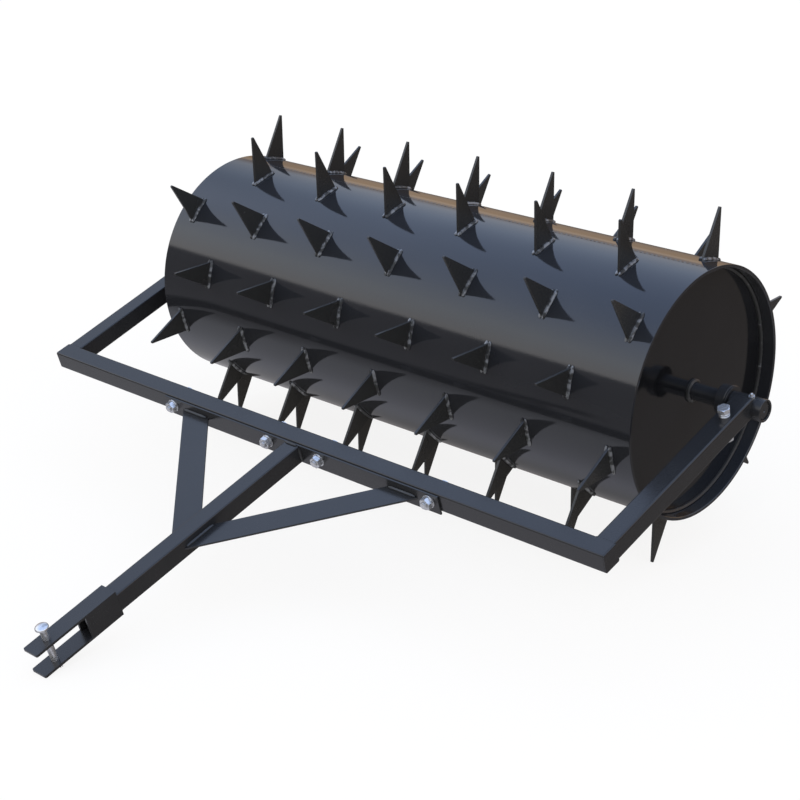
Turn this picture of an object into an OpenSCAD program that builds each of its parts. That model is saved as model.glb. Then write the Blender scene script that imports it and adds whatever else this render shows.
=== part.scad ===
// Tow-behind drum spike aerator: a spiked drum turning in a tube frame with a bolted drawbar.
// The part stands on its lowest spikes and the lip of its clevis, with z = 0 at the ground.
// x runs along the axle, y from the hitch towards the drum, z up.

/* [Drum] */
// Length of the drum shell
drum_len = 914; // [700:1:1200]
// Outside diameter of the drum shell
drum_od = 360; // [300:1:400]
// Wall of the drum shell
drum_wall = 5; // [3:0.5:8]
// Depth of each end disc inside the rim
end_recess = 22; // [10:1:60]
// Thickness of each end disc
end_thk = 6; // [4:0.5:12]

/* [Spikes] */
// Height of a spike above the shell
spike_h = 72; // [40:1:100]
// Width of a spike at the shell
spike_base = 40; // [25:1:60]
// Width of the blunt tip
spike_tip = 3; // [1:0.5:8]
// Thickness of the spike plate
spike_thk = 4; // [3:0.5:8]
// Spikes in a long row, the rows between them having one less
spikes_long = 7; // [4:1:9]
// From the rim to the middle of the first spike of a long row
spike_margin = 34; // [15:1:60]
// Leg of the weld bead along the foot of a spike
bead = 3.5; // [2:0.5:5]
// How far the bead runs past each end of the foot
bead_over = 2.5; // [0:0.5:5]

/* [Axle] */
// Diameter of the axle
axle_d = 25.4; // [20:0.1:32]
// Leg of the weld ring between axle and end disc
hub_weld = 4; // [2:0.5:6]
// Depth of each axle end inside its sleeve
axle_inset = 2; // [1:0.5:4]
// Wall of the set collar
collar_wall = 9.8; // [9:0.1:14]
// Width of the set collar
collar_w = 14; // [12:1:20]
// Diameter of the collar's set screw
set_screw_d = 8; // [5:1:8]
// Thickness of the thrust washer
thrust_thk = 2.5; // [1.5:0.5:5]
// Play between thrust washer and sleeve
end_play = 0.3; // [0.3:0.1:1]

/* [Bearing carriers] */
// Radial running clearance of the axle in its sleeve
journal_gap = 0.05; // [0.02:0.01:0.1]
// Wall of the bearing sleeve
sleeve_wall = 3.25; // [3:0.25:6]
// Length of the bearing sleeve
sleeve_len = 50; // [45:1:60]
// How far the sleeve stands out past the frame arm
sleeve_proud = 13; // [8:1:16]
// From the axle to the carrier bolt
carrier_bolt_y = 54; // [36:1:60]
// From the carrier bolt to the buried end of the tang
tang_tail = 30; // [15:1:60]
// Play of the tang in the arm and of the sleeve in the arm's cope
tang_gap = 0.25; // [0.1:0.05:0.5]
// Diameter of the grease fitting's shank
nipple_d = 6; // [5:0.5:8]
// From the arm's middle outwards to the grease fitting
nipple_out = 8; // [0:0.5:9]
// Outside diameter of the spacer under a carrier bolt's head
spacer_od = 15; // [14:0.5:18]
// Height of that spacer
spacer_h = 8.5; // [5:0.5:12]

/* [Frame] */
// Outside width of the square frame tube
tube = 28.5; // [26:0.5:38]
// Wall of the frame tube
tube_wall = 2.5; // [2:0.25:3]
// Outside corner radius of the frame tube
tube_r = 2.5; // [2:0.5:6]
// Space between the drum's rim and each frame arm
side_gap = 51; // [45:0.5:80]
// Space between the spike tips and the front bar
tip_gap = 74; // [40:0.5:120]
// How far the arms' centre lines pass above the axle
arm_rise = 7; // [0:0.5:8]
// Thickness of the plates that close the front bar
bar_plate_thk = 2; // [1.5:0.5:4]

/* [Drawbar] */
// How far the drawbar's centre lies below the frame's
drop = 3; // [0:0.5:6]
// Length of the cross plate
plate_len = 544; // [540:1:700]
// Height of the cross plate
plate_h = 30; // [28:0.5:40]
// Thickness of the cross plate
plate_thk = 3; // [3:0.5:8]
// From the middle to each inner plate bolt
bolt_in_x = 51; // [35:1:80]
// From the middle to each outer plate bolt
bolt_out_x = 255; // [250:1:260]
// Outside width of the square tongue tube
tongue = 28; // [22:0.1:32]
// Wall of the tongue tube
tongue_wall = 2.5; // [2:0.25:4]
// Outside corner radius of the tongue tube
tongue_r = 2.5; // [2:0.5:5]
// Length of the tongue tube
tongue_len = 349.5; // [260:0.5:600]
// Width of a brace strip
brace_w = 40; // [25:1:50]
// Thickness of a brace strip
brace_thk = 3; // [3:0.5:6]
// From the middle to the centre line of a brace at the cross plate
brace_x = 207; // [150:1:215]
// From the cross plate to the centre line of a brace at the tongue
brace_y = 201; // [150:1:225]

/* [Clevis] */
// Width of the clevis
clevis_w = 28; // [26:0.5:40]
// Space between the two ears
ear_gap = 32.1; // [24:0.1:50]
// Thickness of the ears, side walls and back wall
clevis_wall = 3.7; // [3:0.1:8]
// Length of the boxed part of the clevis
clevis_box = 53; // [30:1:80]
// Length of the ears past the boxed part
ear_len = 82; // [60:1:110]
// Corner radius at the ear tips
ear_r = 2.5; // [1:0.5:6]

/* [Hitch pin] */
// Diameter of the pin
pin_d = 10.5; // [8:0.5:13]
// Radial clearance of the pin in the ears
pin_gap = 0.4; // [0.3:0.05:1]
// From the ear tips to the pin
pin_back = 28; // [20:1:40]
// Diameter of the pin's head
pin_head_d = 18.5; // [16:0.5:26]
// Height of the pin's domed head
pin_head_h = 5; // [3:0.5:8]
// How far the head stands off the upper ear at rest
head_rise = 18; // [10:1:30]
// Width of the split cotter's closed legs
cotter_d = 3; // [2:0.1:3.2]
// Clearance of the cotter in the pin
cotter_gap = 0.2; // [0.1:0.05:0.3]
// Space between the cotter and the lower ear at rest
cotter_lift = 1; // [0.6:0.1:1.2]

/* [Fasteners] */
// Thread diameter of the frame bolts
bolt_d = 10; // [8:1:10]
// Clearance of a bolt in its hole, on the diameter
bolt_gap = 0.5; // [0.2:0.1:1]
// Width across flats of bolt heads and nuts
bolt_af = 16; // [14:0.5:18]
// Height of a bolt head
head_h = 6; // [5:0.1:8]
// Height of a nut
nut_h = 8; // [6:0.1:10]
// Outside diameter of a washer
washer_od = 20; // [18:0.5:22]
// Thickness of a washer
washer_thk = 2; // [1:0.1:3]
// How far a bolt's end stands out of its nut
bolt_end = 3; // [1:0.5:6]

/* [Hidden] */
$fn = 96;
CORNER_FN = 32;
SMALL_FN = 48;
CUT = 1;            // overlap of every cut past the face it opens
MIN_R = 0.5;        // smallest inside corner radius of a tube
BLACK = "#1b1c1f";
ZINC = "#b9bdc2";
rows = 12;          // rows of spikes, one node each

drum_r = drum_od / 2;
drum_id = drum_od - 2 * drum_wall;
tip_r = drum_r + spike_h;
half_step = 180 / rows;
spike_pitch = (drum_len - 2 * spike_margin) / (spikes_long - 1);
foot_half = spike_base / 2;
foot_x = sqrt(drum_r * drum_r - foot_half * foot_half);
flank = (foot_half - spike_tip / 2) / (tip_r - foot_x);
root_x = foot_x - CUT;
root_half = foot_half + CUT * flank;
bead_angle = 2 * asin((foot_half + bead_over) / drum_r);

arm_in = drum_len / 2 + side_gap;
arm_mid = arm_in + tube / 2;
arm_out = arm_in + tube;
sleeve_r = axle_d / 2 + journal_gap + sleeve_wall;
sleeve_out = arm_out + sleeve_proud;
sleeve_in = sleeve_out - sleeve_len;
axle_half = sleeve_out - axle_inset;
thrust_x = sleeve_in - end_play - thrust_thk;
collar_x = thrust_x - collar_w;
collar_r = axle_d / 2 + collar_wall;
tang = tube - 2 * tube_wall - 2 * tang_gap;
tang_r = 3;         // corner radius of the tang, clear of the tube's inside corners
nipple_x = arm_mid + nipple_out;

bar_back = -(tip_r + tip_gap);
bar_front = bar_back - tube;
arm_tilt = atan2(arm_rise, -bar_back);
arm_run = norm([bar_back, arm_rise]);
arm_end = -sleeve_r / 2;
plate_front = bar_front - plate_thk;
tongue_front = plate_front - tongue_len;
box_front = tongue_front - clevis_box;
ear_tip = box_front - ear_len;
pin_y = ear_tip + pin_back;
clevis_h = ear_gap + 2 * clevis_wall;
ear_top = clevis_h / 2 - drop;
ear_bottom = -clevis_h / 2 - drop;
pin_r = pin_d / 2;

// The frame tips forward until the clevis lip is as low as the spikes
axle_h = tip_r * cos(half_step) + spike_tip / 2 * sin(half_step);
tilt = asin(axle_h / norm([ear_tip, ear_bottom])) - atan2(-ear_bottom, -ear_tip);
front_reach = -ear_tip * cos(tilt) + ear_top * sin(tilt);
axle_y = (front_reach - axle_h) / 2;

head_z = ear_top + head_rise;
ground_gap = 0.1;   // between the pin's end and the ground at rest
pin_stub = (pin_back - pin_r) * tan(tilt) - ground_gap;
cotter_z = ear_bottom - cotter_lift - cotter_d / 2;
cotter_hole = cotter_d + 2 * cotter_gap;

PLATE_BOLTS = [-bolt_out_x, -bolt_in_x, bolt_in_x, bolt_out_x];
SIDES = [-1, 1];

// Places its children on the frame: origin on the axle, y towards the drum, z square to the frame
module on_frame() {
    translate([0, axle_y, axle_h]) rotate([tilt, 0, 0]) children();
}

// Places its children on an arm: origin on its centre line over the axle, y along it to the back
module on_arm(side) {
    on_frame() translate([side * arm_mid, bar_back, 0]) rotate([arm_tilt, 0, 0])
        translate([0, arm_run, 0]) children();
}

// Places its children on the axle: z along the axle, x straight down
module on_axle() {
    translate([0, axle_y, axle_h]) rotate([0, 90, 0]) children();
}

// Square outline with round corners, true arcs
module round_square(size, corner) {
    square([size, size - 2 * corner], center = true);
    square([size - 2 * corner, size], center = true);
    for (x = SIDES, y = SIDES)
        translate([x * (size / 2 - corner), y * (size / 2 - corner)])
            circle(r = corner, $fn = CORNER_FN);
}

// Square tube along z from 0 to length
module square_tube(size, wall, corner, length) {
    difference() {
        linear_extrude(height = length) round_square(size, corner);
        translate([0, 0, -CUT]) linear_extrude(height = length + 2 * CUT)
            round_square(size - 2 * wall, max(corner - wall, MIN_R));
    }
}

// Flat ring from z = 0 upwards
module ring(outer_d, bore_d, height) {
    difference() {
        cylinder(d = outer_d, h = height);
        translate([0, 0, -CUT]) cylinder(d = bore_d, h = height + 2 * CUT);
    }
}

// Hexagonal prism by its width across flats
module hexagon(flats, height) {
    cylinder(d = flats / cos(30), h = height, $fn = 6);
}

// Hex bolt: head above z = 0, shank below it with a chamfered end
module hex_bolt(length) {
    end_chamfer = bolt_d / 10;
    hexagon(bolt_af, head_h);
    translate([0, 0, -length + end_chamfer]) cylinder(d = bolt_d, h = length, $fn = SMALL_FN);
    translate([0, 0, -length])
        cylinder(d1 = bolt_d - 2 * end_chamfer, d2 = bolt_d, h = end_chamfer, $fn = SMALL_FN);
}

module hex_nut() {
    difference() {
        hexagon(bolt_af, nut_h);
        translate([0, 0, -CUT]) cylinder(d = bolt_d, h = nut_h + 2 * CUT, $fn = SMALL_FN);
    }
}

module washer() {
    ring(washer_od, bolt_d + bolt_gap, washer_thk, $fn = SMALL_FN);
}

module drum_shell() {
    color(BLACK) on_axle() difference() {
        cylinder(d = drum_od, h = drum_len, center = true);
        cylinder(d = drum_id, h = drum_len + 2 * CUT, center = true);
    }
}

// End disc with the weld ring that joins it to the axle
module drum_end(side) {
    weld_root = axle_d / 2 + hub_weld;
    weld_top = axle_d / 2 + hub_weld / 8;
    color(BLACK) on_axle() translate([0, 0, side * (drum_len / 2 - end_recess)])
        rotate([side > 0 ? 0 : 180, 0, 0]) difference() {
            union() {
                translate([0, 0, -end_thk]) cylinder(d = drum_id, h = end_thk);
                translate([0, 0, -CUT]) cylinder(r = weld_root, h = CUT);
                cylinder(r1 = weld_root, r2 = weld_top, h = hub_weld);
            }
            translate([0, 0, -end_thk - CUT]) cylinder(d = axle_d, h = end_thk + hub_weld + 2 * CUT);
        }
}

module axle() {
    chamfer = 1;
    color(BLACK) on_axle() rotate_extrude() polygon([
        [0, -axle_half], [axle_d / 2 - chamfer, -axle_half], [axle_d / 2, -axle_half + chamfer],
        [axle_d / 2, axle_half - chamfer], [axle_d / 2 - chamfer, axle_half], [0, axle_half]]);
}

// One spike pointing along x, its foot and weld bead cut to the curve of the shell
module spike() {
    bead_half = spike_thk / 2 + bead;
    difference() {
        union() {
            linear_extrude(height = spike_thk, center = true) polygon([
                [root_x, -root_half], [tip_r, -spike_tip / 2],
                [tip_r, spike_tip / 2], [root_x, root_half]]);
            rotate([0, 0, -bead_angle / 2]) rotate_extrude(angle = bead_angle) polygon([
                [drum_r - CUT, -bead_half - CUT], [drum_r + bead, -spike_thk / 2],
                [drum_r + bead, spike_thk / 2], [drum_r - CUT, bead_half + CUT]]);
        }
        cylinder(r = drum_r, h = 2 * (bead_half + CUT) + CUT, center = true);
    }
}

// Row number 0 is the first one forward of straight down; long and short rows alternate
module spike_row(number) {
    count = number % 2 == 0 ? spikes_long : spikes_long - 1;
    color(BLACK) on_axle() rotate([0, 0, -(number + 0.5) * 2 * half_step])
        for (i = [0 : count - 1]) translate([0, 0, (i - (count - 1) / 2) * spike_pitch]) spike();
}

module set_collar(side) {
    color(BLACK) on_axle() difference() {
        translate([0, 0, side > 0 ? collar_x : -collar_x - collar_w])
            ring(2 * collar_r, axle_d, collar_w);
        translate([0, 0, side * (collar_x + collar_w / 2)]) rotate([0, 90, 0])
            cylinder(d = set_screw_d, h = collar_r + CUT, $fn = SMALL_FN);
    }
}

module set_screws() {
    sunk = 1;           // depth of the screw's face below the collar
    color(ZINC) on_axle() for (side = SIDES)
        translate([axle_d / 2, 0, side * (collar_x + collar_w / 2)]) rotate([0, 90, 0])
            cylinder(d = set_screw_d, h = collar_wall - sunk, $fn = SMALL_FN);
}

module thrust_washers() {
    bore_gap = 0.6;     // on the diameter
    rim_step = 1;       // how far the washer's rim lies inside the collar's
    color(BLACK) on_axle() for (side = SIDES)
        translate([0, 0, side > 0 ? thrust_x : -thrust_x - thrust_thk])
            ring(2 * (collar_r - rim_step), axle_d + bore_gap, thrust_thk);
}

// Sleeve for the axle with a square tang that slides into the arm
module bearing_carrier(side) {
    sleeve_mid = side * (sleeve_in + sleeve_out) / 2;
    color(BLACK) difference() {
        union() {
            on_frame() translate([sleeve_mid, 0, 0]) rotate([0, 90, 0])
                cylinder(r = sleeve_r, h = sleeve_len, center = true);
            on_arm(side) translate([0, arm_end, 0]) rotate([90, 0, 0])
                linear_extrude(height = carrier_bolt_y + tang_tail + arm_end)
                    round_square(tang, tang_r);
        }
        on_frame() translate([sleeve_mid, 0, 0]) rotate([0, 90, 0])
            cylinder(r = axle_d / 2 + journal_gap, h = sleeve_len + 2 * CUT, center = true);
        on_frame() translate([side * nipple_x, 0, 0])
            cylinder(d = nipple_d, h = sleeve_r + CUT, $fn = SMALL_FN);
        on_arm(side) translate([0, -carrier_bolt_y, 0])
            cylinder(d = bolt_d + bolt_gap, h = tube, center = true, $fn = SMALL_FN);
    }
}

// Grease fitting: shank in the sleeve wall, hexagon, neck and ball
module grease_fittings() {
    bore_side = 0.6;    // the shank's end stays this far outside the bore
    sink = 0.4;         // the shank runs this far up into the hexagon
    hex_h = 4;
    neck_h = 2;
    neck_d = nipple_d - 2;
    ball_step = 1;
    shank_bottom = axle_d / 2 + journal_gap + bore_side;
    color(ZINC) on_frame() for (side = SIDES) translate([side * nipple_x, 0, 0]) {
        translate([0, 0, shank_bottom])
            cylinder(d = nipple_d, h = sleeve_r - shank_bottom + sink, $fn = SMALL_FN);
        translate([0, 0, sleeve_r]) hexagon(nipple_d + 2, hex_h);
        translate([0, 0, sleeve_r + hex_h]) cylinder(d = neck_d, h = neck_h, $fn = SMALL_FN);
        translate([0, 0, sleeve_r + hex_h + neck_h])
            cylinder(d1 = neck_d + ball_step, d2 = neck_d - ball_step, h = neck_h, $fn = SMALL_FN);
    }
}

// Side arm, cut flat to the bar, coped to the sleeve and drilled for the carrier bolt
module arm(side) {
    color(BLACK) difference() {
        on_arm(side) translate([0, arm_end, 0]) rotate([90, 0, 0])
            square_tube(tube, tube_wall, tube_r, arm_run + arm_end + CUT);
        on_frame() translate([side * arm_mid, bar_back - tube / 2, 0])
            cube([tube + 2 * CUT, tube, 2 * tube], center = true);
        on_frame() translate([side * arm_mid, 0, 0]) rotate([0, 90, 0])
            cylinder(r = sleeve_r + tang_gap, h = tube + 2 * CUT, center = true);
        on_arm(side) translate([0, -carrier_bolt_y, 0])
            cylinder(d = bolt_d + bolt_gap, h = tube + 2 * CUT, center = true, $fn = SMALL_FN);
    }
}

module front_bar() {
    color(BLACK) on_frame() translate([0, bar_back - tube / 2, 0]) difference() {
        translate([-arm_out, 0, 0]) rotate([0, 90, 0])
            square_tube(tube, tube_wall, tube_r, 2 * arm_out);
        for (x = PLATE_BOLTS) translate([x, 0, 0]) rotate([90, 0, 0])
            cylinder(d = bolt_d + bolt_gap, h = tube + 2 * CUT, center = true, $fn = SMALL_FN);
    }
}

module bar_end_plates() {
    color(BLACK) on_frame() for (side = SIDES)
        translate([side > 0 ? arm_out : -arm_out - bar_plate_thk, bar_back - tube / 2, 0])
            rotate([0, 90, 0]) linear_extrude(height = bar_plate_thk) round_square(tube, tube_r);
}

module carrier_bolts() {
    grip = spacer_h + tube + washer_thk + nut_h + bolt_end;
    color(ZINC) for (side = SIDES) on_arm(side)
        translate([0, -carrier_bolt_y, tube / 2 + spacer_h]) hex_bolt(grip);
}

module carrier_nuts() {
    color(ZINC) for (side = SIDES) on_arm(side)
        translate([0, -carrier_bolt_y, -tube / 2 - washer_thk - nut_h]) hex_nut();
}

module carrier_washers() {
    color(ZINC) for (side = SIDES) on_arm(side)
        translate([0, -carrier_bolt_y, -tube / 2 - washer_thk]) washer();
}

module carrier_spacers() {
    color(ZINC) for (side = SIDES) on_arm(side)
        translate([0, -carrier_bolt_y, tube / 2])
            ring(spacer_od, bolt_d + bolt_gap, spacer_h, $fn = SMALL_FN);
}

module cross_plate() {
    color(BLACK) on_frame() difference() {
        translate([-plate_len / 2, plate_front, -drop - plate_h / 2])
            cube([plate_len, plate_thk, plate_h]);
        for (x = PLATE_BOLTS) translate([x, bar_front + CUT, 0]) rotate([90, 0, 0])
            cylinder(d = bolt_d + bolt_gap, h = plate_thk + 2 * CUT, $fn = SMALL_FN);
    }
}

// Heads on the drum side of the bar, nuts on the hitch side
module plate_bolts() {
    grip = tube + plate_thk + washer_thk + nut_h + bolt_end;
    color(ZINC) on_frame() for (x = PLATE_BOLTS)
        translate([x, bar_back, 0]) rotate([-90, 0, 0]) hex_bolt(grip);
}

module plate_nuts() {
    color(ZINC) on_frame() for (x = PLATE_BOLTS)
        translate([x, plate_front - washer_thk, 0]) rotate([90, 0, 0]) hex_nut();
}

module plate_washers() {
    color(ZINC) on_frame() for (x = PLATE_BOLTS)
        translate([x, plate_front, 0]) rotate([90, 0, 0]) washer();
}

module tongue_tube() {
    color(BLACK) on_frame() translate([0, plate_front, -drop]) rotate([90, 0, 0])
        square_tube(tongue, tongue_wall, tongue_r, tongue_len);
}

// Flat strip from the cross plate to the side of the tongue, cut to both
module brace(side) {
    run = norm([brace_x - tongue / 2, brace_y]);
    angle = atan2(brace_y, brace_x - tongue / 2);
    color(BLACK) on_frame() translate([0, plate_front, -drop]) mirror([side > 0 ? 0 : 1, 0, 0])
        intersection() {
            translate([brace_x, 0, 0]) rotate([0, 0, 180 + angle])
                cube([2 * (run + brace_x), brace_w, brace_thk], center = true);
            translate([tongue / 2, -2 * brace_y, -brace_thk])
                cube([2 * brace_x, 2 * brace_y, 2 * brace_thk]);
        }
}

// Box at the back, open ears in front, both ears drilled for the pin
module clevis() {
    body_len = clevis_box + ear_len;
    color(BLACK) on_frame() translate([0, tongue_front, -drop]) difference() {
        translate([0, 0, -clevis_h / 2]) linear_extrude(height = clevis_h) union() {
            translate([-clevis_w / 2, -body_len + ear_r]) square([clevis_w, body_len - ear_r]);
            translate([-clevis_w / 2 + ear_r, -body_len]) square([clevis_w - 2 * ear_r, body_len]);
            for (x = SIDES) translate([x * (clevis_w / 2 - ear_r), -body_len + ear_r])
                circle(r = ear_r, $fn = CORNER_FN);
        }
        translate([-clevis_w / 2 + clevis_wall, -body_len - CUT, -ear_gap / 2])
            cube([clevis_w - 2 * clevis_wall, body_len + CUT - clevis_wall, ear_gap]);
        translate([-clevis_w / 2 - CUT, -body_len - CUT, -ear_gap / 2])
            cube([clevis_w + 2 * CUT, ear_len + CUT, ear_gap]);
        translate([0, -body_len + pin_back, 0])
            cylinder(r = pin_r + pin_gap, h = clevis_h + 2 * CUT, center = true, $fn = SMALL_FN);
    }
}

// Domed head, plain shank with a chamfered end, cross hole for the cotter
module hitch_pin() {
    low = ear_bottom - pin_stub;
    chamfer = 1;
    rim = 1;            // height of the head's straight rim
    step = 15;          // degrees between points of the dome
    head_r = pin_head_d / 2;
    dome = [for (a = [0 : step : 90])
        [head_r * cos(a), head_z + rim + (pin_head_h - rim) * sin(a)]];
    color(ZINC) on_frame() translate([0, pin_y, 0]) difference() {
        rotate_extrude($fn = SMALL_FN) polygon(concat(
            [[0, low], [pin_r - chamfer, low], [pin_r, low + chamfer], [pin_r, head_z],
                [head_r, head_z]], dome));
        translate([0, 0, cotter_z]) rotate([0, 90, 0])
            cylinder(d = cotter_hole, h = pin_d + 2 * CUT, center = true, $fn = SMALL_FN);
    }
}

// Split cotter: eye on the left, closed shank through the pin, two splayed legs on the right
module cotter_pin() {
    wire = cotter_d / 2;
    shank_end = pin_r + wire;
    eye_r = 1.6 * wire;
    leg_len = 5.5;
    open_up = 20;       // how far the upper and the lower leg bend off the shank's line
    open_down = 45;
    spread = 30;
    color(ZINC) on_frame() translate([0, pin_y, cotter_z]) {
        translate([-shank_end, 0, 0]) rotate([0, 90, 0])
            cylinder(r = wire, h = 2 * shank_end, $fn = SMALL_FN);
        translate([-shank_end - eye_r, 0, 0])
            rotate_extrude($fn = SMALL_FN) translate([eye_r, 0]) circle(d = wire, $fn = CORNER_FN);
        for (leg = [[-1, open_up], [1, open_down]]) translate([shank_end - wire / 2, 0, 0])
            rotate([0, 90 + leg[1], 0]) rotate([leg[0] * -spread, 0, 0])
                cylinder(d = wire, h = leg_len, $fn = CORNER_FN);
    }
}

drum_shell();
drum_end(-1);  // drum_end_left
drum_end(1);  // drum_end_right
axle();
spike_row(0);  // spike_row_01
spike_row(1);  // spike_row_02
spike_row(2);  // spike_row_03
spike_row(3);  // spike_row_04
spike_row(4);  // spike_row_05
spike_row(5);  // spike_row_06
spike_row(6);  // spike_row_07
spike_row(7);  // spike_row_08
spike_row(8);  // spike_row_09
spike_row(9);  // spike_row_10
spike_row(10);  // spike_row_11
spike_row(11);  // spike_row_12
set_collar(-1);  // set_collar_left
set_collar(1);  // set_collar_right
set_screws();
thrust_washers();
bearing_carrier(-1);  // bearing_carrier_left
bearing_carrier(1);  // bearing_carrier_right
grease_fittings();
arm(-1);  // arm_left
arm(1);  // arm_right
front_bar();
bar_end_plates();
carrier_bolts();
carrier_nuts();
carrier_washers();
carrier_spacers();
cross_plate();
plate_bolts();
plate_nuts();
plate_washers();
tongue_tube();
brace(-1);  // brace_left
brace(1);  // brace_right
clevis();
hitch_pin();
cotter_pin();
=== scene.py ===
"""Tow-behind drum spike aerator: a spiked drum turning in a square tube frame with a bolted drawbar."""
import math
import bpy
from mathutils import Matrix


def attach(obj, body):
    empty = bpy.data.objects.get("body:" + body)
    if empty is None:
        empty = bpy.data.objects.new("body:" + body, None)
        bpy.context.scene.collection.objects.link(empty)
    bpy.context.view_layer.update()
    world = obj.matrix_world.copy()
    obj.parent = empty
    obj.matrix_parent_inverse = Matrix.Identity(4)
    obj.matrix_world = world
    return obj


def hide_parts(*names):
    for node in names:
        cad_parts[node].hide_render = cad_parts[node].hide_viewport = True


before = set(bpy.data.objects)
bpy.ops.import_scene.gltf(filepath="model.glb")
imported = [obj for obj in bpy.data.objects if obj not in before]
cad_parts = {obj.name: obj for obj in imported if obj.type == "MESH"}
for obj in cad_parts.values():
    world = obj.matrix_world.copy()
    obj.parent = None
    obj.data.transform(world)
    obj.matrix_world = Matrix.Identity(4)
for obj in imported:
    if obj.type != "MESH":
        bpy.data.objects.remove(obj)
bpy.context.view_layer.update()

from types import SimpleNamespace

import bmesh
import bpy
from bpy.props import FloatProperty, FloatVectorProperty, IntProperty, PointerProperty
from mathutils import Euler, Matrix, Vector

bl_info = {
    "name": "Drum spike aerator",
    "version": (1, 0, 0),
    "blender": (4, 5, 0),
    "location": "View3D > Sidebar > Aerator",
    "description": "Dresses the aerator's packed bodies with painted, welded and plated pieces",
    "category": "Add Mesh",
}

SIDES = {-1: "left", 1: "right"}
BROKEN = 0.0005     # round of an edge that was cut and broken
SLACK = 0.0003      # play between a loose ring and what it is on
SEAT = 0.30         # share of a bead's radius from a corner to the bead's middle
SHARP = 40.0        # degrees from which an edge is shaded sharp
WHOLE = 2 * math.pi


# Sizes and colours

def size(default, description):
    """A length that the user may change, in metres."""
    return FloatProperty(description=description, default=default, min=0.0, precision=4, unit="LENGTH")


def colour(default, description):
    """A colour that the user may change, in linear light."""
    return FloatVectorProperty(description=description, default=default, size=3, min=0.0, soft_max=1.0,
                               subtype="COLOR")


class DrumSizes(bpy.types.PropertyGroup):
    """The rolled shell, its ends and its spikes."""
    length: size(0.914, "Length of the drum shell")
    diameter: size(0.360, "Outside diameter of the drum shell")
    wall: size(0.005, "Wall of the drum shell")
    recess: size(0.022, "Depth of each end disc inside the rim")
    disc: size(0.006, "Thickness of each end disc")
    end_weld: size(0.003, "Radius of the bead between end disc and shell")
    spike_height: size(0.072, "Height of a spike above the shell")
    spike_base: size(0.040, "Width of a spike at the shell")
    spike_tip: size(0.003, "Width of the blunt tip")
    spike_plate: size(0.004, "Thickness of the spike plate")
    margin: size(0.034, "From the rim to the middle of the first spike of a long row")
    bead: size(0.0031, "Radius of the weld bead along the foot of a spike")
    bead_over: size(0.0025, "How far the bead runs past each end of the foot")
    long_row: IntProperty(description="Spikes in a long row", default=7, min=2)
    rows: IntProperty(description="Rows of spikes round the drum", default=12, min=2)


class AxleSizes(bpy.types.PropertyGroup):
    """The axle, what is held on it and the carriers that it turns in."""
    diameter: size(0.0254, "Diameter of the axle")
    hub_weld: size(0.004, "Leg of the weld ring between axle and end disc")
    inset: size(0.002, "Depth of each axle end inside its sleeve")
    collar_wall: size(0.0098, "Wall of the set collar")
    collar_width: size(0.014, "Width of the set collar")
    set_screw: size(0.008, "Diameter of the collar's set screw")
    thrust: size(0.0025, "Thickness of the thrust washer")
    play: size(0.0003, "Play between thrust washer and sleeve")
    journal_gap: size(0.00005, "Radial running clearance of the axle in its sleeve")
    sleeve_wall: size(0.00325, "Wall of the bearing sleeve")
    sleeve_length: size(0.050, "Length of the bearing sleeve")
    sleeve_proud: size(0.013, "How far the sleeve stands out past the arm")
    carrier_bolt: size(0.054, "From the axle to the carrier bolt")
    tail: size(0.030, "From the carrier bolt to the buried end of the tang")
    fitting: size(0.006, "Diameter of the grease fitting's shank")
    fitting_out: size(0.008, "From the arm's middle outwards to the grease fitting")


class FrameSizes(bpy.types.PropertyGroup):
    """The three-sided tube frame."""
    tube: size(0.0285, "Outside width of the square frame tube")
    wall: size(0.0025, "Wall of the frame tube")
    corner: size(0.0025, "Outside corner radius of the frame tube")
    side_gap: size(0.051, "Space between the drum's rim and each arm")
    tip_gap: size(0.074, "Space between the spike tips and the front bar")
    arm_rise: size(0.007, "How far the arms' centre lines pass above the axle")
    end_plate: size(0.002, "Thickness of the plates that close the front bar")
    fillet: size(0.0034, "Radius of the weld beads of the frame")


class DrawbarSizes(bpy.types.PropertyGroup):
    """The bolted drawbar."""
    drop: size(0.003, "How far the drawbar's centre lies below the frame's")
    plate_length: size(0.544, "Length of the cross plate")
    plate_height: size(0.030, "Height of the cross plate")
    plate: size(0.003, "Thickness of the cross plate")
    inner_bolt: size(0.051, "From the middle to each inner plate bolt")
    outer_bolt: size(0.255, "From the middle to each outer plate bolt")
    tongue: size(0.028, "Outside width of the square tongue tube")
    tongue_wall: size(0.0025, "Wall of the tongue tube")
    tongue_corner: size(0.0025, "Outside corner radius of the tongue tube")
    tongue_length: size(0.3495, "Length of the tongue tube")
    brace_width: size(0.040, "Width of a brace strip")
    brace: size(0.003, "Thickness of a brace strip")
    brace_x: size(0.207, "From the middle to a brace's centre line at the plate")
    brace_y: size(0.201, "From the plate to a brace's centre line at the tongue")
    fillet: size(0.0026, "Radius of the weld beads of the drawbar")


class HitchSizes(bpy.types.PropertyGroup):
    """The clevis, the hitch pin and its cotter."""
    gap: size(0.0321, "Space between the two ears")
    wall: size(0.0037, "Thickness of the ears and of the clevis walls")
    box: size(0.053, "Length of the boxed part of the clevis")
    ear: size(0.082, "Length of the ears past the boxed part")
    pin: size(0.0105, "Diameter of the hitch pin")
    pin_back: size(0.028, "From the ear tips to the pin")
    head: size(0.0185, "Diameter of the pin's head")
    head_height: size(0.005, "Height of the pin's domed head")
    head_rise: size(0.018, "How far the head stands off the upper ear")
    cotter: size(0.003, "Width of the cotter's closed legs")
    cotter_lift: size(0.001, "Space between the cotter and the lower ear")
    leg: size(0.0055, "Length of each splayed leg of the cotter")


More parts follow.
